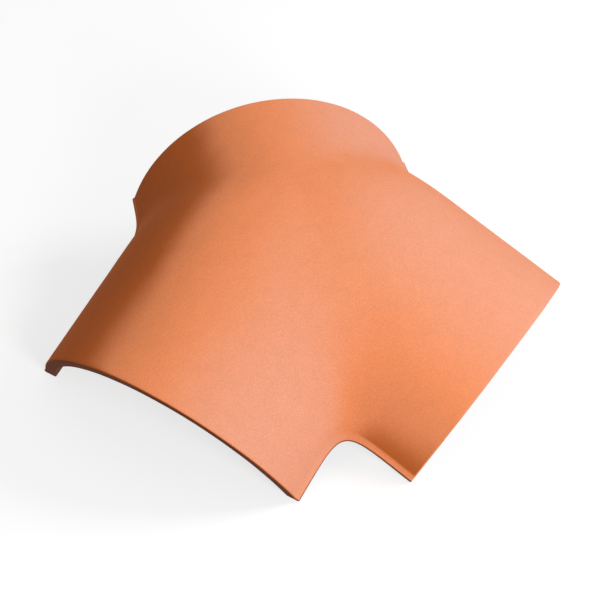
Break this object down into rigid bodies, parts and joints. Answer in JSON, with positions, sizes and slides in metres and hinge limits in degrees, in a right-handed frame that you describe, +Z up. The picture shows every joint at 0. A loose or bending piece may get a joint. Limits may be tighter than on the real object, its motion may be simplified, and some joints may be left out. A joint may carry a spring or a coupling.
{
  "type": "three-way ridge and hip junction roof tile",
  "caption": "Arched one-piece clay junction tile that caps the point where a level roof ridge meets two falling hips.",
  "frame": {"origin": "on the floor that the tile stands on, under the middle of its bounding box", "axes": "+Z up; +Y along the level ridge arm, out of its open end; the hip arms fall away to -X and +X on the -Y side, 45 degrees to either side of -Y in plan"},
  "size_m": [0.4576, 0.3318, 0.1494],
  "materials": {
    "terracotta": "unglazed fired clay, smooth matte skin of an even orange-red"
  },
  "bodies": {
    "root": {"junction_tile": "terracotta"}
  },
  "joints": []
}
